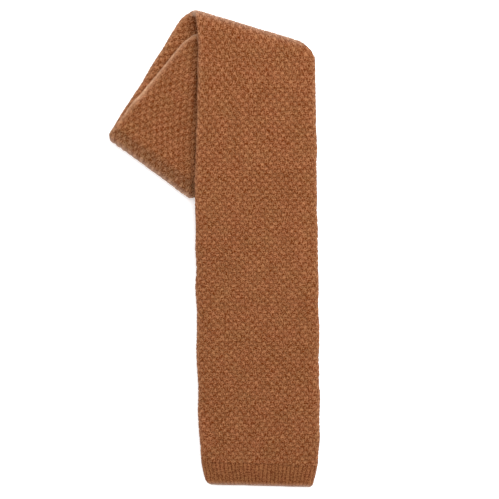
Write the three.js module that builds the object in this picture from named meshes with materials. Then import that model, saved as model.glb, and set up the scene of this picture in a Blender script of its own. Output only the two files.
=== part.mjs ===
// A knitted necktie lying folded in four. The wide end, called the blade, lies on top
// with its face up. The tie turns under at a slanting first fold, runs back down to the
// left, comes forward again at a second fold, and at a third fold, inside the first,
// it turns and runs down under the blade to its narrow end.
//
// The tie is one knitted tube pressed flat. Millimetres: +X runs across the blade, +Y up
// it towards the first fold, +Z up from the surface that the tie lies on.
import * as THREE from "three";
import { mergeVertices } from "three/addons/utils/BufferGeometryUtils.js";

// The cloth
const BLADE_WIDTH = 70;
const WALL = 1.4; // one wall of the knitted tube
const SLIT = 0.4; // the space between its two walls
const LAYER_GAP = 0.4; // between one layer of the folded tie and the next
const PIECE_GAP = 0.3; // between the tube and its end bands, and the bands and seams
const BRIDGE = 4; // a layer stays level this far past an edge below it, then comes down

// Lengths along the middle of the tie, between the folds and at its ends
const BLADE_RUN = 258.4;
const BACK_RUN = 91.5;
const RETURN_RUN = 84.6;
const TAIL_RUN = 232;
const BLADE_BAND = 13;
const TAIL_BAND = 11;
const SEAM_LENGTH = 1.3;
const SEAM_THICKNESS = 2.2;

// Corners of the wide end, as seen with its face up
const LEFT_CORNER = 3.6;
const RIGHT_CORNER = 2.2;
const TAIL_CORNER = 4;
const CORNER_STATIONS = [0.5, 1]; // where a corner's curve is divided, as shares of its radius

// Directions in degrees, anticlockwise from +X
const BLADE_HEADING = 90.5;
const FIRST_CREASE = -16.6;
const SECOND_CREASE = -36.2;
const THIRD_CREASE = -19;
const END_SLANT = 1.9; // how far the closing row is off square to the blade

// How finely the tie is divided
const RUN_STEP = 10;
const BEND_STEPS = 9;
const ACROSS_STEPS = 10;
const SLIT_STEPS = 4;
const EDGE_SEGMENTS = 2;
const SHORTEST_STEP = 1;
const TOLERANCE = 1e-4; // two points nearer than this are the same point

const CLOTH = 2 * WALL + SLIT;
const PITCH = CLOTH + LAYER_GAP;
const EDGE_RADIUS = CLOTH / 2;

// The runs of the tie from the blade to the tail. level is how many layers lie under a
// run. crease is the direction of the fold that ends it, and pinchLeft and pinchRight
// are how far that fold's ends draw in, as shares of the fold's outer radius. A layer
// above comes down to rest beyond a run's edges over the distance drape, a share of
// BLADE_WIDTH, and the run holds it up past its own ends by before and beyond, shares
// of the run's length.
const RUNS = [
  {
    name: "blade",
    length: BLADE_RUN,
    level: 3,
    crease: FIRST_CREASE,
    pinchLeft: 0.15,
    pinchRight: 0.95,
    drape: 0,
    before: 0,
    beyond: 0,
  },
  {
    name: "back",
    length: BACK_RUN,
    level: 0,
    crease: SECOND_CREASE,
    pinchLeft: 0.5,
    pinchRight: 0.5,
    drape: 0.7,
    before: 0.3,
    beyond: 0.05,
  },
  {
    name: "return",
    length: RETURN_RUN,
    level: 1,
    crease: THIRD_CREASE,
    pinchLeft: 0.6,
    pinchRight: 0.9,
    drape: 0.7,
    before: 0.05,
    beyond: 0.4,
  },
  {
    name: "tail",
    length: TAIL_RUN,
    level: 2,
    drape: 0.24,
    before: 0.15,
    beyond: 0,
  },
];

// How wide the tie is, and how far its middle strays to the left, as shares of
// BLADE_WIDTH. at is a share of the run.
const WIDTHS = [
  { run: "blade", at: 0, width: 0.88, stray: 0.008 },
  { run: "blade", at: 0.05, width: 0.957, stray: 0.006 },
  { run: "blade", at: 0.12, width: 1, stray: 0.006 },
  { run: "blade", at: 0.33, width: 1.01, stray: 0.009 },
  { run: "blade", at: 0.66, width: 1.01, stray: 0.014 },
  { run: "blade", at: 0.78, width: 0.99, stray: 0.007 },
  { run: "blade", at: 0.9, width: 0.97, stray: 0.001 },
  { run: "blade", at: 0.95, width: 0.957, stray: -0.005 },
  { run: "blade", at: 1, width: 0.97, stray: 0.003 },
  { run: "back", at: 0, width: 1.035, stray: 0.038 },
  { run: "back", at: 1, width: 0.883, stray: 0.076 },
  { run: "return", at: 0, width: 0.883, stray: 0.076 },
  { run: "return", at: 0.12, width: 0.876, stray: 0.083 },
  { run: "return", at: 0.33, width: 0.85, stray: 0.1 },
  { run: "return", at: 0.6, width: 0.82, stray: 0.105 },
  { run: "return", at: 0.93, width: 0.81, stray: 0.112 },
  { run: "return", at: 1, width: 0.79, stray: 0.1 },
  { run: "tail", at: 0, width: 0.77, stray: 0.09 },
  { run: "tail", at: 0.12, width: 0.71, stray: 0.075 },
  { run: "tail", at: 0.6, width: 0.66, stray: 0.03 },
  { run: "tail", at: 0.94, width: 0.66, stray: 0.02 },
  { run: "tail", at: 1, width: 0.62, stray: 0.02 },
];

const KNIT_COLOUR = 0x935b39;
const BAND_COLOUR = 0x855334;
const SEAM_COLOUR = 0xb98562;

const UP = new THREE.Vector3(0, 0, 1);

function inPlan(degrees) {
  const angle = THREE.MathUtils.degToRad(degrees);
  return new THREE.Vector3(Math.cos(angle), Math.sin(angle), 0);
}

// The way that a crease runs across the cloth, pointing to the cloth's left.
function creaseAcross(crease, forward, normal) {
  const line = inPlan(crease);
  const left = normal.clone().cross(forward);
  return line.dot(left) < 0 ? line.negate() : line;
}

// The angle between a line across the cloth and the square to its middle line.
function slantOf(line, forward, normal) {
  const left = normal.clone().cross(forward);
  return Math.atan2(line.dot(forward), line.dot(left));
}

// Lays the middle line of the tie. Each leg is a flat run or a bend, with its start
// measured from the wide end.
function layLegs() {
  const legs = [];
  const origin = new THREE.Vector3(0, 0, RUNS[0].level * PITCH + CLOTH / 2);
  let forward = inPlan(BLADE_HEADING);
  let normal = UP.clone();
  let slant = THREE.MathUtils.degToRad(END_SLANT);
  let start = 0;
  RUNS.forEach((run, index) => {
    const next = RUNS[index + 1];
    const line = next ? creaseAcross(run.crease, forward, normal) : null;
    const endSlant = next ? slantOf(line, forward, normal) : 0;
    legs.push({
      kind: "run",
      run,
      index,
      start,
      length: run.length,
      origin: origin.clone(),
      forward: forward.clone(),
      normal: normal.clone(),
      slants: [slant, endSlant],
    });
    start += run.length;
    origin.addScaledVector(forward, run.length);
    if (!next) return;

    const radius = (Math.abs(next.level - run.level) * PITCH) / 2;
    const rise = Math.sign(next.level - run.level);
    const length = (Math.PI * radius) / Math.cos(endSlant);
    legs.push({
      kind: "bend",
      run,
      index,
      start,
      length,
      origin: origin.clone(),
      forward: forward.clone(),
      normal: normal.clone(),
      line,
      radius,
      rise,
      slants: [endSlant, endSlant],
    });
    start += length;
    origin.addScaledVector(line, length * Math.sin(endSlant));
    origin.z += rise * 2 * radius;
    forward = forward.clone().reflect(straightAhead(line, forward));
    normal = normal.clone().negate();
    slant = slantOf(line, forward, normal);
  });
  return legs;
}

// The direction in the cloth that is square to a crease.
function straightAhead(line, forward) {
  return forward.clone().addScaledVector(line, -forward.dot(line)).normalize();
}

const LEGS = layLegs();
const LENGTH = LEGS.at(-1).start + LEGS.at(-1).length;

function widthRows() {
  return WIDTHS.map((row) => {
    const leg = LEGS.find((one) => one.kind === "run" && one.run.name === row.run);
    return { ...row, distance: leg.start + row.at * leg.length };
  });
}

const WIDTH_ROWS = widthRows();

// The width and stray at a distance from the wide end, in millimetres.
function widthAt(distance) {
  const last = WIDTH_ROWS.length - 1;
  const found = WIDTH_ROWS.findIndex((row) => row.distance > distance);
  const next = found < 0 ? last : Math.max(found, 1);
  const [from, to] = [WIDTH_ROWS[next - 1], WIDTH_ROWS[next]];
  const span = Math.max(to.distance - from.distance, TOLERANCE);
  const share = THREE.MathUtils.clamp((distance - from.distance) / span, 0, 1);
  return {
    width: THREE.MathUtils.lerp(from.width, to.width, share) * BLADE_WIDTH,
    stray: THREE.MathUtils.lerp(from.stray, to.stray, share) * BLADE_WIDTH,
  };
}

// How far a rounded corner draws the edge in, at a distance from the tie's end.
function cornerInset(radius, fromEnd) {
  const left = THREE.MathUtils.clamp(radius - fromEnd, 0, radius);
  return radius - Math.sqrt(radius * radius - left * left);
}

// The edges of the tie, as distances to the left of its middle line.
function edgesAt(distance, leg, turn) {
  const { width, stray } = widthAt(distance);
  const outer = leg.kind === "bend" ? leg.radius + CLOTH / 2 : 0;
  const drawn = outer * Math.sin(turn) ** 2;
  const { pinchLeft = 0, pinchRight = 0 } = leg.run;
  const fromTail = LENGTH - distance;
  const tailInset = cornerInset(TAIL_CORNER, fromTail);
  const leftInset = cornerInset(LEFT_CORNER, distance) + tailInset;
  const rightInset = cornerInset(RIGHT_CORNER, distance) + tailInset;
  return {
    left: stray + width / 2 - leftInset - pinchLeft * drawn,
    right: stray - width / 2 + rightInset + pinchRight * drawn,
  };
}

// The place, axes and edges of the tie at a distance from the wide end.
function stationAt(distance) {
  const leg = LEGS.findLast((one) => one.start <= distance + TOLERANCE);
  const along = distance - leg.start;
  const share = along / leg.length;
  const slant = THREE.MathUtils.lerp(...leg.slants, share);
  if (leg.kind === "run") {
    const left = leg.normal.clone().cross(leg.forward);
    return {
      origin: leg.origin.clone().addScaledVector(leg.forward, along),
      across: left.addScaledVector(leg.forward, Math.tan(slant)),
      normal: leg.normal.clone(),
      edges: edgesAt(distance, leg, 0),
      lying: [{ index: leg.index, weight: 1 }],
    };
  }
  const turn = share * Math.PI;
  const ahead = straightAhead(leg.line, leg.forward);
  const upward = UP.clone().multiplyScalar(leg.rise);
  const facing = Math.sign(leg.normal.dot(upward));
  const outward = upward
    .clone()
    .multiplyScalar(-Math.cos(turn))
    .addScaledVector(ahead, Math.sin(turn));
  return {
    origin: leg.origin
      .clone()
      .addScaledVector(upward, leg.radius)
      .addScaledVector(outward, leg.radius)
      .addScaledVector(leg.line, along * Math.sin(slant)),
    across: leg.line.clone().divideScalar(Math.cos(slant)),
    normal: outward.clone().multiplyScalar(-facing),
    edges: edgesAt(distance, leg, turn),
    lying: [
      { index: leg.index, weight: (1 + Math.cos(turn)) / 2 },
      { index: leg.index + 1, weight: (1 - Math.cos(turn)) / 2 },
    ],
  };
}

// The distances that divide the tie: even steps along each run and round each bend.
function dividingDistances() {
  return LEGS.flatMap((leg) => {
    const steps = leg.kind === "bend" ? BEND_STEPS : Math.ceil(leg.length / RUN_STEP);
    return Array.from({ length: steps }, (_, i) => leg.start + (leg.length * i) / steps);
  });
}

const DIVISIONS = dividingDistances();

// The outline in plan of the ground that a run covers.
function footprint(leg) {
  const inside = DIVISIONS.filter((d) => d > leg.start && d < leg.start + leg.length);
  const distances = [leg.start, ...inside, leg.start + leg.length - 2 * TOLERANCE];
  const stations = distances.map(stationAt);
  stations[0].origin.addScaledVector(leg.forward, -leg.run.before * leg.length);
  stations.at(-1).origin.addScaledVector(leg.forward, leg.run.beyond * leg.length);
  const edge = (station, side) => {
    const place = station.origin.clone().addScaledVector(station.across, station.edges[side]);
    return new THREE.Vector2(place.x, place.y);
  };
  const left = stations.map((station) => edge(station, "left"));
  const right = stations.map((station) => edge(station, "right"));
  return [...left, ...right.reverse()];
}

const FOOTPRINTS = LEGS.filter((leg) => leg.kind === "run").map(footprint);

// How far a point in plan lies outside an outline, or 0 where it lies inside.
function distanceOutside(outline, point) {
  let inside = false;
  let nearest = Infinity;
  outline.forEach((a, i) => {
    const b = outline[(i + 1) % outline.length];
    const side = b.clone().sub(a);
    const toPoint = point.clone().sub(a);
    const share = THREE.MathUtils.clamp(toPoint.dot(side) / side.lengthSq(), 0, 1);
    nearest = Math.min(nearest, toPoint.addScaledVector(side, -share).length());
    const straddles = a.y > point.y !== b.y > point.y;
    const crossing = a.x + ((point.y - a.y) / (b.y - a.y)) * (b.x - a.x);
    if (straddles && point.x < crossing) inside = !inside;
  });
  return inside ? 0 : nearest;
}

// How far the cloth at a point of a run comes down because the layers that it counts
// as lying under it end short of that point.
function comesDown(index, point) {
  return RUNS.reduce((sum, run, i) => {
    if (run.level >= RUNS[index].level) return sum;
    const away = distanceOutside(FOOTPRINTS[i], point);
    const reach = run.drape * BLADE_WIDTH;
    return sum + PITCH * THREE.MathUtils.smoothstep(away, BRIDGE, BRIDGE + reach);
  }, 0);
}

// A point of the cloth in space, from its place to the left of the tie's middle line
// and its height above the middle of the cloth.
function placed(station, leftward, height) {
  const place = station.origin
    .clone()
    .addScaledVector(station.across, leftward)
    .addScaledVector(station.normal, height);
  const point = new THREE.Vector2(place.x, place.y);
  place.z -= station.lying.reduce(
    (sum, { index, weight }) => sum + weight * comesDown(index, point),
    0,
  );
  return place;
}

// The section of a flattened piece, drawn at the blade's width: x to the left, y up.
function flatSection(thickness, hollow) {
  const radius = thickness / 2;
  const half = BLADE_WIDTH / 2 - radius;
  const section = new THREE.Shape();
  section.moveTo(half, -radius);
  section.absarc(half, 0, radius, -Math.PI / 2, Math.PI / 2, false);
  for (let i = 1; i <= ACROSS_STEPS; i += 1) {
    section.lineTo(half - (2 * half * i) / ACROSS_STEPS, radius);
  }
  section.absarc(-half, 0, radius, Math.PI / 2, (3 * Math.PI) / 2, false);
  for (let i = 1; i < ACROSS_STEPS; i += 1) {
    section.lineTo((2 * half * i) / ACROSS_STEPS - half, -radius);
  }
  if (hollow) section.holes.push(slitHole());
  return section;
}

function slitHole() {
  const reach = BLADE_WIDTH / 2 - WALL;
  const hole = new THREE.Path();
  hole.moveTo(-reach, -SLIT / 2);
  for (let i = 1; i <= SLIT_STEPS; i += 1) {
    hole.lineTo((2 * reach * i) / SLIT_STEPS - reach, -SLIT / 2);
  }
  for (let i = 0; i <= SLIT_STEPS; i += 1) {
    hole.lineTo(reach - (2 * reach * i) / SLIT_STEPS, SLIT / 2);
  }
  hole.closePath();
  return hole;
}

// Moves a point of the section from the blade's width to the edges of a station. The
// rounded edges keep their form.
function fitted(x, edges) {
  const half = BLADE_WIDTH / 2 - EDGE_RADIUS;
  const flat = THREE.MathUtils.clamp(x, -half, half);
  const share = (flat / half + 1) / 2;
  const [low, high] = [edges.right + EDGE_RADIUS, edges.left - EDGE_RADIUS];
  return THREE.MathUtils.lerp(low, high, share) + (x - flat);
}

// A stretch of the tie from one distance to another as one closed mesh.
function stretch(name, from, to, thickness, hollow, colour, extra = []) {
  const inside = [...DIVISIONS, ...extra].filter(
    (d) => d > from + SHORTEST_STEP && d < to - SHORTEST_STEP,
  );
  const distances = [from, ...inside.sort((a, b) => a - b), to];
  const stations = distances.map(stationAt);
  const geometry = new THREE.ExtrudeGeometry(flatSection(thickness, hollow), {
    steps: stations.length - 1,
    depth: stations.length - 1,
    bevelEnabled: false,
    curveSegments: EDGE_SEGMENTS,
  });
  geometry.deleteAttribute("normal");
  geometry.deleteAttribute("uv");
  const position = geometry.getAttribute("position");
  for (let i = 0; i < position.count; i += 1) {
    const station = stations[Math.round(position.getZ(i))];
    const leftward = fitted(position.getX(i), station.edges);
    const place = placed(station, leftward, position.getY(i));
    position.setXYZ(i, place.x, place.y, place.z);
  }
  const closed = mergeVertices(geometry, TOLERANCE);
  closed.computeVertexNormals();
  const material = new THREE.MeshStandardMaterial({
    color: colour,
    roughness: 0.95,
    metalness: 0,
  });
  const mesh = new THREE.Mesh(closed, material);
  mesh.name = name;
  return mesh;
}

// The band and closing row at one end. far is the distance of that end from the wide
// end, and inward is 1 where the tie runs on from it and -1 where it ends there.
function endPieces(prefix, far, inward, bandLength, corner) {
  const span = (near, away) => [far + inward * near, far + inward * away].sort((a, b) => a - b);
  const seam = span(0, SEAM_LENGTH);
  const band = span(SEAM_LENGTH + PIECE_GAP, bandLength);
  const cornerStations = CORNER_STATIONS.map((share) => far + inward * corner * share);
  return [
    stretch(`${prefix}_end_seam`, ...seam, SEAM_THICKNESS, false, SEAM_COLOUR),
    stretch(`${prefix}_end_band`, ...band, CLOTH, true, BAND_COLOUR, cornerStations),
  ];
}

const tie = new THREE.Group();
const bodyStart = BLADE_BAND + PIECE_GAP;
const bodyEnd = LENGTH - TAIL_BAND - PIECE_GAP;
tie.add(stretch("knit_body", bodyStart, bodyEnd, CLOTH, true, KNIT_COLOUR));
tie.add(...endPieces("blade", 0, 1, BLADE_BAND, LEFT_CORNER));
tie.add(...endPieces("tail", LENGTH, -1, TAIL_BAND, TAIL_CORNER));

// The origin is under the middle of the whole tie, on the surface that it lies on.
const box = new THREE.Box3().setFromObject(tie);
const middle = box.getCenter(new THREE.Vector3());
tie.position.set(-middle.x, -middle.y, -box.min.z);

export default tie;
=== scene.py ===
"""A knitted necktie lying folded in four, seen from straight above.

The tie is laid out as one flattened tube that follows three folds, with the same named
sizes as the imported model. Its surface is a fine mesh whose stitches stand out as relief:
seed stitch on the tube, ribs on the bands at its ends and a linked row that closes them.
All lengths are in metres. A column runs along the tie and a row runs round it.
"""

import math

import bpy
import numpy as np
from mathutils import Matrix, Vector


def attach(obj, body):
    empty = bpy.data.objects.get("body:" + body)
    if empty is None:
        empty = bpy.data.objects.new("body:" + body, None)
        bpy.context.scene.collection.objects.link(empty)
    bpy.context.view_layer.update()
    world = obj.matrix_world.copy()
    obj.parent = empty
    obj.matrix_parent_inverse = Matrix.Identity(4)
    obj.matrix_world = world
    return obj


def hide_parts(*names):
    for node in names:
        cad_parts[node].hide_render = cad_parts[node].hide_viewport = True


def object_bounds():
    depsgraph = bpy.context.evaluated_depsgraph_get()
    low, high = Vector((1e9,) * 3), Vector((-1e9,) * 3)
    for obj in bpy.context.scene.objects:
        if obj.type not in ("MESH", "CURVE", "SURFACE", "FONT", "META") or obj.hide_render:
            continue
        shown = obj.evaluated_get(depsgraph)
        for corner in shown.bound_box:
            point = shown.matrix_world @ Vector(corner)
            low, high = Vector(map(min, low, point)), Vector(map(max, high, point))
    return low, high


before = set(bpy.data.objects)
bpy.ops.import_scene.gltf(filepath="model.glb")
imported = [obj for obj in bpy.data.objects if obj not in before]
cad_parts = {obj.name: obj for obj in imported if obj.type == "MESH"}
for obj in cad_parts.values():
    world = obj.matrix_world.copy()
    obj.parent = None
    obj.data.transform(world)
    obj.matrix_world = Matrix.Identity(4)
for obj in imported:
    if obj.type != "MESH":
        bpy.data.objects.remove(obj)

CAD_LOW, CAD_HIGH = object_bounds()

# The cloth
BLADE_WIDTH = 0.070
CLOTH = 0.0032
LAYER_GAP = 0.0004
BRIDGE = 0.004  # a layer stays level this far past an edge below it, then comes down
PITCH = CLOTH + LAYER_GAP

# Lengths along the middle of the tie
BLADE_RUN = 0.2584
BACK_RUN = 0.0915
RETURN_RUN = 0.0846
TAIL_RUN = 0.232
BLADE_BAND = 0.013
TAIL_BAND = 0.011
SEAM_LENGTH = 0.0013
SEAM_THICKNESS = 0.0022
BAND_TAPER = 0.003  # over this length a band thins down to its closing row

# Corners of the ends, as seen with the blade's face up
LEFT_CORNER = 0.0036
RIGHT_CORNER = 0.0022
TAIL_CORNER = 0.004

# Directions in degrees, anticlockwise from +X
BLADE_HEADING = 90.5
FIRST_CREASE = -16.6
SECOND_CREASE = -36.2
THIRD_CREASE = -19
END_SLANT = 1.9

# The runs of the tie from the blade to the tail. level is how many layers lie under a
# run, crease the direction of the fold that ends it, and the pinches say how far that
# fold's ends draw in, as shares of its outer radius. A layer above comes down over the
# distance drape, a share of BLADE_WIDTH, and before and beyond are shares of the run by
# which it holds that layer up past its own ends. crest is how strong the painted sheen
# highlight on the fold that ends it is, and how narrow that light band is.
RUNS = [
    dict(name="blade", length=BLADE_RUN, level=3, crease=FIRST_CREASE,
         pinch=(0.15, 0.95), drape=0.0, before=0.0, beyond=0.0, crest=(0.78, 4)),
    dict(name="back", length=BACK_RUN, level=0, crease=SECOND_CREASE,
         pinch=(0.5, 0.5), drape=0.7, before=0.3, beyond=0.05, crest=(1.0, 2)),
    dict(name="return", length=RETURN_RUN, level=1, crease=THIRD_CREASE,
         pinch=(0.6, 0.9), drape=0.7, before=0.05, beyond=0.4, crest=(0.3, 3)),
    dict(name="tail", length=TAIL_RUN, level=2, crease=None,
         pinch=(0.0, 0.0), drape=0.24, before=0.15, beyond=0.0, crest=(0.0, 1)),
]

# At shares of each run, its width and stray to the left, as shares of BLADE_WIDTH, and the
# strength of the painted sheen highlight on its pressed edges
WIDTHS = [
    ("blade", 0.0, 0.88, 0.008, 0.13),
    ("blade", 0.05, 0.957, 0.006, 0.13),
    ("blade", 0.12, 1.0, 0.006, 0.13),
    ("blade", 0.33, 1.01, 0.009, 0.13),
    ("blade", 0.66, 1.01, 0.014, 0.13),
    ("blade", 0.78, 0.99, 0.007, 0.13),
    ("blade", 0.9, 0.97, 0.001, 0.13),
    ("blade", 0.95, 0.957, -0.005, 0.13),
    ("blade", 1.0, 0.97, 0.003, 0.13),
    ("back", 0.0, 1.035, 0.038, 0.22),
    ("back", 1.0, 0.883, 0.076, 0.22),
    ("return", 0.0, 0.883, 0.076, 0.3),
    ("return", 0.12, 0.876, 0.083, 0.35),
    ("return", 0.33, 0.85, 0.1, 1.0),
    ("return", 0.6, 0.82, 0.105, 0.62),
    ("return", 0.93, 0.81, 0.112, 0.57),
    ("return", 1.0, 0.79, 0.1, 0.57),
    ("tail", 0.0, 0.77, 0.09, 0.22),
    ("tail", 0.12, 0.71, 0.075, 0.22),
    ("tail", 0.6, 0.66, 0.03, 0.22),
    ("tail", 0.94, 0.66, 0.02, 0.22),
    ("tail", 1.0, 0.62, 0.02, 0.22),
]
TABLE_STEP = 0.0005  # of the table of widths along the tie
EASE_STEPS = 17  # the widths are eased over this many of its steps
WAVER = 0.0002  # how far the edges waver from those widths
WAVER_STEP = 0.007
FOOTPRINT_STEP = 0.01

# Pressed edges, painted highlights and painted shade
EDGE_EASE = 0.004  # the stitches are pressed flatter within this distance of an edge
RIM_REACH = 0.0022  # how far the painted rim highlights reach in from the edges
CREST_FADE = 1.6  # how fast the painted highlight of a fold fades on its underside
SHADE_PAST_FOLD = 0.0018  # the middle of the painted shade band past the second fold
SHADE_REACH = 0.0042
FOLD_LEVEL = 0.6  # under its painted highlight a fold is coloured more like stitches of this one height, by this share
FOLD_LEVELLING = 0.3  # by this share
END_HIGHLIGHT = 0.3  # how light the painted highlight is on a band where it meets its closing row
END_HIGHLIGHT_REACH = 0.0007

# The stitches. The tube has as many columns as go once round it.
FACE_COLUMNS = 30
COLUMNS = 2 * FACE_COLUMNS
ROW_HEIGHT = 0.00228  # at the foot of the blade
ROW_STRETCH = 0.12  # how much taller the rows are at the folds
RIB_ROW_HEIGHT = 0.0017
RELIEF = 0.00075  # from the pits to the tops of the stitches
RIB_RELIEF = 0.0006
LINK_RELIEF = 0.0004
PROUD = 0.8  # the share of the relief that lies below the tube's own surface
ROW_STEPS = 6  # mesh rows in one row of stitches
BEFORE_FOLD = 0.002  # a stretch of the mesh ends this far short of a fold
SWELL = 0.00018  # how far the pressed cloth rises and falls over a few centimetres
SIZE_SPREAD = 0.08  # how much the stitches differ in height, in place and in lean
SHIFT_SPREAD = 0.045
LEAN_SPREAD = 0.08
SEED = 11
UNROLLED = 0.97  # the share of a texture's height that the unrolled tube takes
FLOOR_CLEARANCE = 0.00002

# The looks of the yarns by slot: each one's name, and its colours in the pits between the
# stitches, darkened there as painted shade, on their tops, and of the painted sheen highlight
# on the rims. The folds' painted highlight has one colour.
YARNS = {
    "knit": ("knit wool", (0.1, 0.018, 0.0), (0.35, 0.152, 0.068), (0.55, 0.33, 0.205)),
    "rib": ("rib wool", (0.075, 0.011, 0.0), (0.28, 0.112, 0.044), (0.46, 0.245, 0.15)),
    # the linking yarn is coloured lighter than the knit: painted highlight of the light its rounded
    # closing row catches
    "seam": ("linking yarn", (0.22, 0.105, 0.065), (0.38, 0.245, 0.185), (0.5, 0.31, 0.22)),
}
# painted highlight: the colour of the sheen painted on the folds' crests
FOLD_HIGHLIGHT_COLOUR = (0.4, 0.25, 0.175)
FOLD_SHADES = (0.66, 1.3)  # of that colour, from the pits to the tops
# painted shade: the tint that darkens the band past the second fold
PAINTED_SHADE_TINT = (0.81, 0.905, 1.0)
FIBRE_SIZE = 0.0006
HUE_PATCH = 0.009
LIGHT_PATCH = 0.016

# The studio
FLOOR_SIZE = 14.0
FLOOR_GLOW = 0.3
SKY_STRENGTH = 1.08
SOFTBOX_PLACE = (0.22, 0.36, 0.6)
SOFTBOX_SIZE = 0.5
SOFTBOX_WATTS = 4.4

# The photograph's frame, in pixels
PHOTO_SIDE = 499
BLADE_PIXELS = 121
TIE_MIDDLE = (214.6, 248.8)
CAMERA_HEIGHT = 2.4
SENSOR = 0.036

rng = np.random.default_rng(SEED)


def in_plan(degrees):
    angle = math.radians(degrees)
    return np.array([math.cos(angle), math.sin(angle), 0.0])


def crease_across(crease, forward, normal):
    """The way that a crease runs across the cloth, pointing to the cloth's left."""
    line = in_plan(crease)
    return line if line @ np.cross(normal, forward) >= 0 else -line


def slant_of(line, forward, normal):
    """The angle between a line across the cloth and the square to its middle line."""
    return math.atan2(line @ forward, line @ np.cross(normal, forward))


def straight_ahead(line, forward):
    """The direction in the cloth that is square to a crease."""
    ahead = forward - (forward @ line) * line
    return ahead / np.linalg.norm(ahead)


def lay_legs():
    """The middle line of the tie as flat runs and bends, measured from the wide end."""
    legs = []
    origin = np.array([0.0, 0.0, RUNS[0]["level"] * PITCH + CLOTH / 2])
    forward = in_plan(BLADE_HEADING)
    normal = np.array([0.0, 0.0, 1.0])
    slant = math.radians(END_SLANT)
    start = 0.0
    for index, run in enumerate(RUNS):
        last = index == len(RUNS) - 1
        line = None if last else crease_across(run["crease"], forward, normal)
        end_slant = 0.0 if last else slant_of(line, forward, normal)
        legs.append(dict(bend=False, run=run, index=index, start=start, length=run["length"],
                         origin=origin.copy(), forward=forward, normal=normal,
                         slants=(slant, end_slant)))
        start += run["length"]
        origin = origin + forward * run["length"]
        if last:
            break
        step = RUNS[index + 1]["level"] - run["level"]
        radius = abs(step) * PITCH / 2
        rise = math.copysign(1.0, step)
        length = math.pi * radius / math.cos(end_slant)
        legs.append(dict(bend=True, run=run, index=index, start=start, length=length,
                         origin=origin.copy(), forward=forward, normal=normal, line=line,
                         radius=radius, rise=rise, slants=(end_slant, end_slant)))
        start += length
        origin = origin + line * (length * math.sin(end_slant))
        origin[2] += rise * 2 * radius
        ahead = straight_ahead(line, forward)
        forward = forward - 2 * (forward @ ahead) * ahead
        normal = -normal
        slant = slant_of(line, forward, normal)
    return legs


LEGS = lay_legs()
FIRST_FOLD, SECOND_FOLD, THIRD_FOLD = (leg["start"] for leg in LEGS if leg["bend"])
RETURN_START, TAIL_START = [leg["start"] for leg in LEGS if not leg["bend"]][-2:]
LENGTH = TAIL_START + TAIL_RUN


def width_table():
    """Distances from the wide end with the width, stray and rim there."""
    flat_runs = {leg["run"]["name"]: leg for leg in LEGS if not leg["bend"]}
    at = [flat_runs[name]["start"] + share * flat_runs[name]["length"] for name, share, *_ in WIDTHS]
    distance = np.arange(0.0, LENGTH, TABLE_STEP)
    window = np.hanning(EASE_STEPS)
    window /= window.sum()
    pad = len(window) // 2
    eased = []
    for column in (2, 3):
        values = np.interp(distance, at, [row[column] * BLADE_WIDTH for row in WIDTHS])
        waver = np.interp(distance, np.arange(0.0, LENGTH + WAVER_STEP, WAVER_STEP),
                          WAVER * rng.standard_normal(int(LENGTH / WAVER_STEP) + 2))
        eased.append(np.convolve(np.pad(values + waver, pad, mode="edge"), window, mode="valid"))
    rims = np.interp(distance, at, [row[4] for row in WIDTHS])
    return distance, *eased, rims


WIDTH_AT, WIDTH_VALUE, STRAY_VALUE, RIM_VALUE = width_table()


def corner_inset(radius, from_end):
    """How far a rounded corner draws the edge in, at a distance from the tie's end."""
    left = np.clip(radius - from_end, 0, radius)
    return radius - np.sqrt(radius * radius - left * left)


def station(distance):
    """The place, axes and edges of the tie at a distance from the wide end."""
    leg = [one for one in LEGS if one["start"] <= max(distance, 0.0)][-1]
    run = leg["run"]
    along = distance - leg["start"]
    share = along / leg["length"]
    slant = leg["slants"][0] + (leg["slants"][1] - leg["slants"][0]) * share
    weights = np.zeros(len(RUNS))
    drawn = 0.0
    curl = 0.0
    crest = 0.0
    if leg["bend"]:
        turn = share * math.pi
        up = np.array([0.0, 0.0, leg["rise"]])
        facing = math.copysign(1.0, leg["normal"] @ up)
        outward = -up * math.cos(turn) + straight_ahead(leg["line"], leg["forward"]) * math.sin(turn)
        origin = leg["origin"] + up * leg["radius"] + outward * leg["radius"]
        origin = origin + leg["line"] * (along * math.sin(slant))
        across = leg["line"] / math.cos(slant)
        normal = -facing * outward
        drawn = (leg["radius"] + CLOTH / 2) * math.sin(turn) ** 2
        curl = facing / leg["radius"]
        # painted highlight: a light band of sheen painted on the fold's crest, fading on its
        # underside
        strength, narrowness = run["crest"]
        above = min(1.0, max(0.0, 1 + CREST_FADE * outward[2]))
        crest = strength * math.sin(turn) ** narrowness * above
        weights[leg["index"]] = (1 + math.cos(turn)) / 2
        weights[leg["index"] + 1] = (1 - math.cos(turn)) / 2
    else:
        origin = leg["origin"] + leg["forward"] * along
        across = np.cross(leg["normal"], leg["forward"]) + leg["forward"] * math.tan(slant)
        normal = leg["normal"]
        weights[leg["index"]] = 1.0
    width = np.interp(distance, WIDTH_AT, WIDTH_VALUE)
    stray = np.interp(distance, WIDTH_AT, STRAY_VALUE)
    tail_inset = corner_inset(TAIL_CORNER, LENGTH - distance)
    left_inset = corner_inset(LEFT_CORNER, distance) + tail_inset + run["pinch"][0] * drawn
    right_inset = corner_inset(RIGHT_CORNER, distance) + tail_inset + run["pinch"][1] * drawn
    left = stray + width / 2 - left_inset
    right = stray - width / 2 + right_inset
    rim = np.interp(distance, WIDTH_AT, RIM_VALUE)
    # painted shade: a darker, duller band just past the second fold
    from_shade = (distance - RETURN_START - SHADE_PAST_FOLD) / SHADE_REACH
    shade = math.exp(-from_shade ** 4)
    # painted light: the rims' painted highlight, the folds' painted highlight and the painted shade
    # band
    painted_light = (rim, crest, shade)
    return origin, across, normal, weights, left, right, curl, painted_light, math.tan(slant)


def stations(distances):
    return [np.array(column) for column in zip(*(station(d) for d in distances))]


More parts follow.
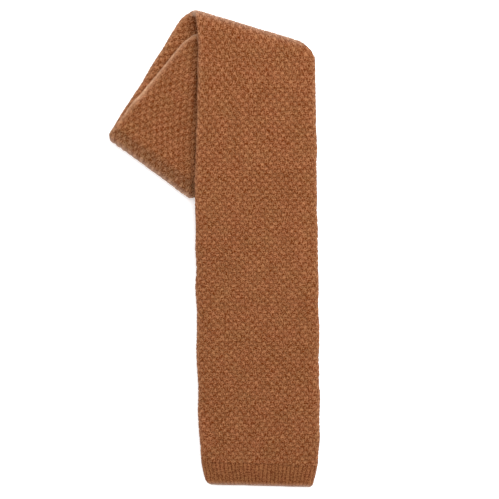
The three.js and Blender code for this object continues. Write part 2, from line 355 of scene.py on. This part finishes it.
def footprint(leg):
    """The outline in plan of the ground that a run covers."""
    steps = math.ceil(leg["length"] / FOOTPRINT_STEP)
    distances = leg["start"] + leg["length"] * np.linspace(0, 1 - 1e-6, steps + 1)
    origin, across, _, _, left, right, *_ = stations(distances)
    origin[0] -= leg["forward"] * leg["run"]["before"] * leg["length"]
    origin[-1] += leg["forward"] * leg["run"]["beyond"] * leg["length"]
    left_edge = origin + across * left[:, None]
    right_edge = origin + across * right[:, None]
    return np.concatenate([left_edge, right_edge[::-1]])[:, :2]


FOOTPRINTS = [footprint(leg) for leg in LEGS if not leg["bend"]]


def distance_outside(outline, points):
    """How far each point in plan lies outside an outline, or 0 where it lies inside."""
    inside = np.zeros(len(points), bool)
    nearest = np.full(len(points), np.inf)
    for a, b in zip(outline, np.roll(outline, -1, axis=0)):
        side = b - a
        to_point = points - a
        share = np.clip(to_point @ side / (side @ side), 0, 1)
        gap = to_point - share[:, None] * side
        nearest = np.minimum(nearest, np.einsum("ij,ij->i", gap, gap))
        if a[1] == b[1]:
            continue
        straddles = (a[1] > points[:, 1]) != (b[1] > points[:, 1])
        crossing = a[0] + (points[:, 1] - a[1]) / side[1] * side[0]
        inside ^= straddles & (points[:, 0] < crossing)
    return np.where(inside, 0.0, np.sqrt(nearest))


def smooth_step(value, low, high):
    share = np.clip((value - low) / (high - low), 0, 1)
    return share * share * (3 - 2 * share)


def come_down(points, weights):
    """Lowers the cloth where the layers that it counts as lying under it end short."""
    plan = points[..., :2]
    for index, run in enumerate(RUNS):
        above = [one["level"] > run["level"] for one in RUNS]
        share = weights @ np.array(above, float)
        rings = np.nonzero(share > 0)[0]
        if not len(rings):
            continue
        away = distance_outside(FOOTPRINTS[index], plan[rings].reshape(-1, 2))
        fall = PITCH * smooth_step(away, BRIDGE, BRIDGE + run["drape"] * BLADE_WIDTH + 1e-9)
        points[rings, :, 2] -= share[rings, None] * fall.reshape(len(rings), -1)
    return points


def section(columns, left, right, radius):
    """Each column's place to the left of the middle line and above the cloth's middle."""
    left, right, radius = left[:, None], right[:, None], radius[:, None]
    flat = left - right - 2 * radius
    over = columns[None, :] <= FACE_COLUMNS
    share = np.where(over, columns, COLUMNS - columns) / FACE_COLUMNS
    quarter = math.pi / 2 * radius
    along = share * (flat + 2 * quarter)
    start = np.clip(along, 0, quarter) / radius
    end = np.clip(along - quarter - flat, 0, quarter) / radius
    level = np.clip(along - quarter, 0, flat)
    leftward = left - radius + radius * np.cos(start) - level - radius * np.sin(end)
    height = radius * (np.sin(start) + np.cos(end) - 1)
    edge = np.minimum(along, flat + 2 * quarter - along)
    return leftward, np.where(over, height, -height), edge


def slopes(grid, rows, columns):
    """The normals of a grid of points that closes on itself from column to column."""
    around = np.concatenate([grid[:, -1:], grid, grid[:, :1]], axis=1)
    places = np.concatenate([[columns[-1] - COLUMNS], columns, [COLUMNS]])
    sideways = np.gradient(around, places, axis=1)[:, 1:-1]
    lengthways = np.gradient(grid, rows, axis=0)
    normals = np.cross(lengthways, sideways)
    return normals / np.maximum(np.linalg.norm(normals, axis=-1, keepdims=True), 1e-12)


def row_table():
    """The count of rows of stitches from the wide end. Rows are taller where the tie is
    narrow, and where it is drawn round its folds."""
    drawn = 1 + ROW_STRETCH * smooth_step(WIDTH_AT, 0.6 * BLADE_RUN, BLADE_RUN)
    heights = ROW_HEIGHT * drawn * BLADE_WIDTH / WIDTH_VALUE
    rows = np.concatenate([[0.0], np.cumsum(np.diff(WIDTH_AT) / heights[1:])])
    return rows - np.interp(BLADE_BAND, WIDTH_AT, rows)


ROW_COUNT = row_table()
LAST_ROW = int(np.interp(LENGTH - TAIL_BAND, WIDTH_AT, ROW_COUNT))
STITCH_SIZE = np.clip(1 + SIZE_SPREAD * rng.standard_normal((LAST_ROW + 4, COLUMNS)), 0.6, 1.25)
STITCH_TONE = rng.standard_normal((LAST_ROW + 4, COLUMNS))
STITCH_SHIFT = SHIFT_SPREAD * rng.standard_normal((2, LAST_ROW + 4, COLUMNS))
STITCH_LEAN = LEAN_SPREAD * rng.standard_normal((LAST_ROW + 4, COLUMNS))
WAVES = [(k, rng.uniform(0.01, 0.05), rng.uniform(0, 2 * math.pi)) for k in (1, 2, 3, 5, 7, 11)]


def wander(columns, rows, seed):
    """A slow wave over the stitches, from about -1 to 1, that joins up round the tube."""
    total = 0.0
    for k, speed, phase in WAVES:
        turn = 2 * math.pi * k * columns / COLUMNS
        total = total + np.sin(turn + 2 * math.pi * speed * (1 + seed) * rows + phase * (1 + seed))
    return total / math.sqrt(len(WAVES))


def dome(value):
    return np.sqrt(np.clip(1 - value, 0, 1))


def purl_bump(x, y):
    """Height of one purl bump and the two strands that run down from it. y points up."""
    taper = np.clip((y + 0.1) / 0.85, 0, 1)
    reach = np.where(y > -0.1, 0.84, 0.15)
    bump = np.clip(1 - (x / (0.51 - 0.2 * taper)) ** 2 - ((y + 0.1) / reach) ** 2, 0, 1) ** 0.3
    strand = np.abs(x) - 0.33 - 0.2 * (-0.3 - y)
    leg = 0.8 * dome((strand / 0.14) ** 2 + ((y + 0.54) / 0.44) ** 4)
    web = 0.45 * dome((x / 0.34) ** 4 + ((y + 0.68) / 0.12) ** 2)
    return np.maximum(np.maximum(bump, leg), web)


def seed_stitch(columns, rows):
    """Height from 0 in the pits to 1 on the purl bumps, and each stitch's own tone."""
    columns = columns + 0.14 * wander(columns, rows, 0)
    rows = rows + 0.16 * wander(columns, rows, 1)
    column = np.floor(columns).astype(int)
    row = np.floor(rows).astype(int)
    height = np.zeros(np.broadcast(columns, rows).shape)
    tone = np.zeros_like(height)
    for side in (-1, 0, 1):
        for ahead in (-1, 0, 1, 2):
            own_column = (column + side) % COLUMNS
            own_row = np.clip(row + ahead, 0, LAST_ROW + 3)
            x = columns - (column + side + 0.5) - STITCH_SHIFT[0, own_row, own_column]
            y = rows - (row + ahead + 0.5) - STITCH_SHIFT[1, own_row, own_column]
            x = x - STITCH_LEAN[own_row, own_column] * y
            purl = (column + side + row + ahead) % 2 == 0
            part = np.where(purl, purl_bump(x, y) * STITCH_SIZE[own_row, own_column], 0)
            higher = part > height
            height = np.where(higher, part, height)
            tone = np.where(higher, STITCH_TONE[own_row, own_column], tone)
    return height, tone


def rib_stitch(columns, rows):
    """Height of the band's ribs: a chain of V shapes down each column."""
    columns = columns + 0.1 * wander(columns, rows, 3)
    rows = rows + 0.2 * wander(columns, rows, 4)
    x = columns - np.floor(columns) - 0.5
    row = rows + 0.9 * np.abs(x)
    y = row - np.floor(row) - 0.5
    own_row = np.clip(np.floor(row).astype(int), 0, LAST_ROW)
    own_column = np.floor(columns).astype(int) % COLUMNS
    strand = (np.abs(x) - 0.22 + 0.06 * y) / 0.22
    chain = dome(strand ** 2 + (y / 0.54) ** 4) * STITCH_SIZE[own_row, own_column]
    core = 0.7 * dome((x / 0.38) ** 2)
    return np.maximum(chain, core), STITCH_TONE[own_row, own_column]


def linked_row(columns, rows):
    """Height of the closing row: one slanting link to each half column."""
    x = 2 * columns + 1.2 * rows + 0.3 * wander(columns, rows, 5)
    x = x - np.floor(x) - 0.5
    link = dome((x / 0.54) ** 2) * dome(((rows - 0.45) / 0.7) ** 4)
    return link, 0.6 * STITCH_TONE[0, np.floor(columns).astype(int) % COLUMNS]


def mesh_columns(face_steps, back_steps):
    """Where the mesh's columns lie round the tube: the blade's face side, then the back."""
    face = np.arange(FACE_COLUMNS * face_steps) / face_steps
    back = FACE_COLUMNS + np.arange(FACE_COLUMNS * back_steps) / back_steps
    return np.concatenate([face, back])


def lay_tube(distances, rows, columns, thickness, pattern, relief, squared=0.0):
    """A stretch of the tube: its points and normals, each point's stitch values, and its
    place on the unrolled tube. Where squared is 1, the rows stay square to the tie's
    middle line across slanting folds. The first and last rings only shape the normals
    and are dropped."""
    origin, across, normal, weights, left, right, curl, painted_light, lead = stations(distances)
    rim, crest, shade = painted_light.T
    leftward, height, edge = section(columns, left, right, thickness / 2)
    points = (origin[:, None] + across[:, None] * leftward[..., None]
              + normal[:, None] * height[..., None])
    points = come_down(points, weights)
    outward = slopes(points, distances, columns)
    ahead = leftward * lead[:, None] * np.gradient(rows, distances)[:, None]
    rows = rows[:, None] + squared * ahead
    stitch, tone = pattern(columns[None, :], rows)
    pressed = 0.5 + 0.5 * smooth_step(edge, 0, EDGE_EASE) * (1 - crest[:, None])
    crowding = np.clip(1 - curl[:, None] * height, 0, 1) * pressed
    rise = relief * (stitch - PROUD) * crowding
    rise = rise + SWELL * wander(columns[None, :], rows, 2) * crowding
    points = points + outward * rise[..., None]
    normals = slopes(points, distances, columns)
    # painted highlight: sheen painted as a lighter colour along the rims at the edges
    light = rim[:, None] * np.exp(-((edge / RIM_REACH) ** 2)) * np.clip(0.9 + 0.15 * tone, 0, 1)
    # painted highlight on the folds' crests
    fold_highlight = crest[:, None] + 0 * edge
    # painted shade band past the second fold
    painted_shade_band = shade[:, None] + 0 * edge
    # under a fold's painted highlight the stitches are coloured as more alike in height
    stitch = stitch + (FOLD_LEVEL - stitch) * FOLD_LEVELLING * fold_highlight
    keep = slice(1, -1)
    values = dict(stitch=stitch, tone=tone, rim=light, crest=fold_highlight, shade=painted_shade_band)
    values = {key: value[keep] for key, value in values.items()}
    return points[keep], normals[keep], values, (columns / COLUMNS, distances[keep])


def texture_places(spread):
    """Each corner's place on a stretch's texture: the tube unrolled, and above it the two
    caps that close it, as flat rounds."""
    across = np.append(1 - spread[0], 0.0)
    along = spread[1] - spread[1][0]
    grid = np.stack(np.meshgrid(across, UNROLLED * along / along[-1]), axis=-1)
    quads = np.stack([grid[:-1, :-1], grid[1:, :-1], grid[1:, 1:], grid[:-1, 1:]], axis=-2)
    turn = np.linspace(0, 2 * math.pi, len(across) - 1, endpoint=False)
    cap = np.stack([0.2 * np.cos(turn), 0.3 * (1 - UNROLLED) * np.sin(turn)], axis=-1)
    level = (1 + UNROLLED) / 2
    return np.concatenate([quads.reshape(-1, 2), cap + (0.25, level), cap + (0.75, level)])


def closed_mesh(name, points, normals, values, spread, shift):
    """Makes the closed mesh of a stretch and returns its object."""
    rings, around = points.shape[:2]
    places = points.reshape(-1, 3) + shift
    places[:, 2] = np.maximum(places[:, 2], FLOOR_CLEARANCE)
    index = np.arange(rings * around).reshape(rings, around)
    beside = np.roll(index, -1, axis=1)
    quads = np.stack([index[:-1], index[1:], beside[1:], beside[:-1]], axis=-1).reshape(-1, 4)
    corners = np.concatenate([quads.ravel(), index[0], index[-1][::-1]])
    totals = np.concatenate([np.full(len(quads), 4), [around, around]])
    mesh = bpy.data.meshes.new(name)
    mesh.vertices.add(len(places))
    mesh.vertices.foreach_set("co", places.ravel())
    mesh.loops.add(len(corners))
    mesh.loops.foreach_set("vertex_index", corners.astype(np.int32))
    mesh.polygons.add(len(totals))
    starts = np.concatenate([[0], np.cumsum(totals)[:-1]])
    mesh.polygons.foreach_set("loop_start", starts.astype(np.int32))
    mesh.polygons.foreach_set("use_smooth", np.ones(len(totals), bool))
    mesh.update(calc_edges=True)
    for key, value in values.items():
        attribute = mesh.attributes.new(key, "FLOAT", "POINT")
        attribute.data.foreach_set("value", value.ravel().astype(np.float32))
    unrolled = mesh.uv_layers.new(name="OFBake")
    unrolled.data.foreach_set("uv", texture_places(spread).astype(np.float32).ravel())
    mesh.normals_split_custom_set_from_vertices(normals.reshape(-1, 3))
    piece = bpy.data.objects.new(name, mesh)
    bpy.context.scene.collection.objects.link(piece)
    return piece


# Stretches of the knitted tube: each one's name, where it ends along the tie, and the
# mesh's steps in one stitch, across the face side, across the back and along the tie
KNIT = [
    ("knit_blade_low", FIRST_FOLD / 3, 8, 2, ROW_STEPS),
    ("knit_blade_middle", FIRST_FOLD * 2 / 3, 8, 2, ROW_STEPS),
    ("knit_blade_top", FIRST_FOLD - BEFORE_FOLD, 8, 2, ROW_STEPS),
    ("knit_first_fold_and_back", SECOND_FOLD - BEFORE_FOLD, 8, 4, ROW_STEPS),
    ("knit_second_fold_and_return", THIRD_FOLD - BEFORE_FOLD, 8, 2, ROW_STEPS),
    ("knit_third_fold_and_tail", LENGTH - TAIL_BAND, 3, 3, ROW_STEPS // 2),
]


def knit_stretches():
    """The stretches of seed stitch, and where the last one ends."""
    made = []
    start = 0.0
    for name, end, face_steps, back_steps, steps in KNIT:
        stop = round(np.interp(end, WIDTH_AT, ROW_COUNT) * 2) / 2
        count = int(round((stop - start) * steps))
        rows = start + np.arange(-1, count + 2) / steps
        distances = np.interp(rows, ROW_COUNT, WIDTH_AT)
        columns = mesh_columns(face_steps, back_steps)
        thickness = np.full(len(rows), CLOTH)
        laid = lay_tube(distances, rows, columns, thickness, seed_stitch, RELIEF, squared=1.0)
        made.append((name, laid))
        start = stop
    return made, distances[-2]


def band_stretch(name, far, inward, band_end):
    """The ribbed band at one end. far is the end's distance, inward the way off it."""
    count = int(round(abs(band_end - far) / RIB_ROW_HEIGHT * ROW_STEPS))
    near = np.linspace(SEAM_LENGTH * 0.75, abs(band_end - far), count)
    step = near[1] - near[0]
    near = np.concatenate([[near[0] - step], near, [near[-1] + step]])
    distances = np.sort(far + inward * near)
    inset = np.abs(distances - far)
    thickness = SEAM_THICKNESS + (CLOTH - SEAM_THICKNESS) * smooth_step(inset, 0, BAND_TAPER)
    rows = inset / RIB_ROW_HEIGHT
    columns = mesh_columns(8, 4)
    points, normals, values, spread = lay_tube(distances, rows, columns, thickness, rib_stitch,
                                               RIB_RELIEF)
    # painted highlight: the band is coloured lighter where it meets its closing row, for the sheen
    # on its rounded end
    painted_highlight = END_HIGHLIGHT * np.exp(-((inset[1:-1, None] - SEAM_LENGTH) / END_HIGHLIGHT_REACH) ** 2)
    values["rim"] = np.maximum(values["rim"], painted_highlight)
    return name, (points, normals, values, spread)


def seam_stretch(name, far, inward):
    """The linked row that closes one end, rounded at the very end."""
    near = np.linspace(0, SEAM_LENGTH, 9)
    step = near[1] - near[0]
    near = np.concatenate([[-step], near, [near[-1] + step]])
    distances = np.sort(far + inward * near)
    inset = np.abs(distances - far)
    share = np.clip(inset / SEAM_LENGTH, 0, 1)
    thickness = SEAM_THICKNESS * (0.4 + 0.6 * np.clip(2 * share, 0, 1) ** 0.5)
    columns = mesh_columns(8, 8)
    return name, lay_tube(distances, share, columns, thickness, linked_row, LINK_RELIEF)


def node(tree, kind, **settings):
    made = tree.nodes.new(kind)
    for key, value in settings.items():
        if key in made.inputs:
            made.inputs[key].default_value = value
        else:
            setattr(made, key, value)
    return made


def named_value(tree, name):
    return node(tree, "ShaderNodeAttribute", attribute_name=name).outputs["Fac"]


def math_node(tree, operation, *values):
    made = node(tree, "ShaderNodeMath", operation=operation)
    for socket, value in zip(made.inputs, values):
        if isinstance(value, bpy.types.NodeSocket):
            tree.links.new(value, socket)
        else:
            socket.default_value = value
    return made.outputs[0]


def mix_colour(tree, share, low, high, blend="MIX"):
    made = node(tree, "ShaderNodeMix", data_type="RGBA", blend_type=blend)
    for socket, value in ((made.inputs[0], share), (made.inputs[6], low), (made.inputs[7], high)):
        if isinstance(value, bpy.types.NodeSocket):
            tree.links.new(value, socket)
        elif socket.type == "RGBA":
            socket.default_value = (*value, 1.0)
        else:
            socket.default_value = value
    return made.outputs[2]


def noise(tree, place, size, detail=2.0):
    """Noise about 0.5 whose patches are about size across."""
    made = node(tree, "ShaderNodeTexNoise", Scale=1 / size, Detail=detail, Roughness=0.6)
    tree.links.new(place, made.inputs["Vector"])
    return made.outputs["Fac"]


def spread_out(tree, value, low, high):
    made = node(tree, "ShaderNodeMapRange")
    made.inputs["From Min"].default_value = low
    made.inputs["From Max"].default_value = high
    tree.links.new(value, made.inputs["Value"])
    return made.outputs["Result"]


def yarn_material(name, deep, light, rim):
    """Brushed wool yarn, from its deep colour in the pits between stitches, a painted shade,
    to its light colour on their tops, with heathered fibres, a slow drift of hue, a painted
    shade band past the second fold, and painted sheen highlights on the rims and folds."""
    material = bpy.data.materials.new(name)
    material.use_nodes = True
    tree = material.node_tree
    shader = tree.nodes["Principled BSDF"]
    place = node(tree, "ShaderNodeTexCoord").outputs["Object"]
    fibres = spread_out(tree, noise(tree, place, FIBRE_SIZE, 1.0), 0.3, 0.7)
    clouds = spread_out(tree, noise(tree, place, LIGHT_PATCH, 3.0), 0.3, 0.7)
    # painted shade: the pits between the stitches are coloured darker by the stitch height
    painted_pit_shade = spread_out(tree, named_value(tree, "stitch"), 0.1, 0.75)
    tone = named_value(tree, "tone")
    share = -0.4  # of the light colour, before each of these adds to it by its weight
    for value, weight in ((painted_pit_shade, 0.45), (tone, 0.04), (fibres, 1.15), (clouds, 0.08)):
        share = math_node(tree, "MULTIPLY_ADD", value, weight, share)
    colour = mix_colour(tree, share, deep, light)
    patches = spread_out(tree, noise(tree, place, HUE_PATCH, 3.0), 0.3, 0.7)
    hue = mix_colour(tree, patches, (1.035, 0.98, 1.015), (0.965, 1.02, 0.975))
    colour = mix_colour(tree, 1.0, colour, hue, "MULTIPLY")
    # painted shade: the band past the second fold is tinted darker
    painted_shade_band = mix_colour(tree, named_value(tree, "shade"), (1.0, 1.0, 1.0), PAINTED_SHADE_TINT)
    colour = mix_colour(tree, 1.0, colour, painted_shade_band, "MULTIPLY")
    # painted highlight: sheen on the rims painted as a lighter colour
    colour = mix_colour(tree, named_value(tree, "rim"), colour, rim)
    # painted highlight: sheen on the folds' crests painted in one colour
    highlight_pits, highlight_tops = ([shade * part for part in FOLD_HIGHLIGHT_COLOUR] for shade in FOLD_SHADES)
    painted_highlight = mix_colour(tree, share, highlight_pits, highlight_tops)
    colour = mix_colour(tree, named_value(tree, "crest"), colour, painted_highlight)
    tree.links.new(colour, shader.inputs["Base Color"])
    shader.inputs["Roughness"].default_value = 0.9
    shader.inputs["Specular IOR Level"].default_value = 0.05
    shader.inputs["Sheen Weight"].default_value = 0.14
    shader.inputs["Sheen Roughness"].default_value = 0.3
    shader.inputs["Sheen Tint"].default_value = (0.95, 0.68, 0.55, 1.0)
    bump = node(tree, "ShaderNodeBump", Strength=0.5, Distance=0.00015)
    tree.links.new(fibres, bump.inputs["Height"])
    tree.links.new(bump.outputs["Normal"], shader.inputs["Normal"])
    return material


def plain_material(name, colour, roughness):
    material = bpy.data.materials.new(name)
    material.use_nodes = True
    shader = material.node_tree.nodes["Principled BSDF"]
    shader.inputs["Base Color"].default_value = (*colour, 1.0)
    shader.inputs["Roughness"].default_value = roughness
    return material


def make_floor():
    bpy.ops.mesh.primitive_plane_add(size=FLOOR_SIZE, location=(0, 0, 0))
    floor = bpy.context.object
    floor.name = "floor"
    paper = plain_material("pale floor", (0.93, 0.93, 0.93), 0.9)
    glow = paper.node_tree.nodes["Principled BSDF"]
    glow.inputs["Emission Color"].default_value = (1.0, 1.0, 1.0, 1.0)
    glow.inputs["Emission Strength"].default_value = FLOOR_GLOW
    floor.data.materials.append(paper)


def make_lights():
    world = bpy.data.worlds.new("studio")
    world.use_nodes = True
    background = world.node_tree.nodes["Background"]
    background.inputs["Color"].default_value = (1.0, 1.0, 1.0, 1.0)
    background.inputs["Strength"].default_value = SKY_STRENGTH
    bpy.context.scene.world = world
    light = bpy.data.lights.new("softbox", "AREA")
    light.energy = SOFTBOX_WATTS
    light.size = SOFTBOX_SIZE
    softbox = bpy.data.objects.new("softbox", light)
    softbox.location = SOFTBOX_PLACE
    towards_tie = -Vector(SOFTBOX_PLACE)
    softbox.rotation_euler = towards_tie.to_track_quat("-Z", "Y").to_euler()
    bpy.context.scene.collection.objects.link(softbox)


def make_camera():
    """Straight above, where the photograph's frame lies round the tie."""
    pixel = BLADE_WIDTH / BLADE_PIXELS
    top = RUNS[0]["level"] * PITCH + CLOTH
    data = bpy.data.cameras.new("camera")
    data.sensor_width = SENSOR * 1000
    data.lens = SENSOR * 1000 * (CAMERA_HEIGHT - top) / (PHOTO_SIDE * pixel)
    data.clip_end = 50.0
    camera = bpy.data.objects.new("camera", data)
    middle = (CAD_LOW + CAD_HIGH) / 2
    half = PHOTO_SIDE / 2
    camera.location = (middle[0] + (half - TIE_MIDDLE[0]) * pixel,
                       middle[1] + (TIE_MIDDLE[1] - half) * pixel, CAMERA_HEIGHT)
    bpy.context.scene.collection.objects.link(camera)
    bpy.context.scene.camera = camera


def dress(piece, yarns, slot, cad_node):
    piece.data.materials.append(yarns[slot])
    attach(piece, "root")
    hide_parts(cad_node)


def make_tie():
    knit, knit_end = knit_stretches()
    blade_band = band_stretch("rib_band_wide_end", 0.0, 1, BLADE_BAND)
    tail_band = band_stretch("rib_band_narrow_end", LENGTH, -1, knit_end)
    blade_seam = seam_stretch("closing_row_wide_end", 0.0, 1)
    tail_seam = seam_stretch("closing_row_narrow_end", LENGTH, -1)
    everything = [*knit, blade_band, tail_band, blade_seam, tail_seam]
    flat = np.concatenate([made[0][..., :2].reshape(-1, 2) for _, made in everything])
    middle = (flat.min(0) + flat.max(0)) / 2
    target = (CAD_LOW + CAD_HIGH) / 2
    shift = np.array([target[0] - middle[0], target[1] - middle[1], 0.0])

    yarns = {slot: yarn_material(*look) for slot, look in YARNS.items()}
    pieces = {name: closed_mesh(name, *made, shift) for name, made in everything}
    for name, _ in knit:
        dress(pieces[name], yarns, "knit", "knit_body")
    dress(pieces[blade_band[0]], yarns, "rib", "blade_end_band")
    dress(pieces[tail_band[0]], yarns, "rib", "tail_end_band")
    dress(pieces[blade_seam[0]], yarns, "seam", "blade_end_seam")
    dress(pieces[tail_seam[0]], yarns, "seam", "tail_end_seam")


bpy.context.scene.view_settings.view_transform = "Standard"
make_camera()
make_lights()
make_floor()
make_tie()
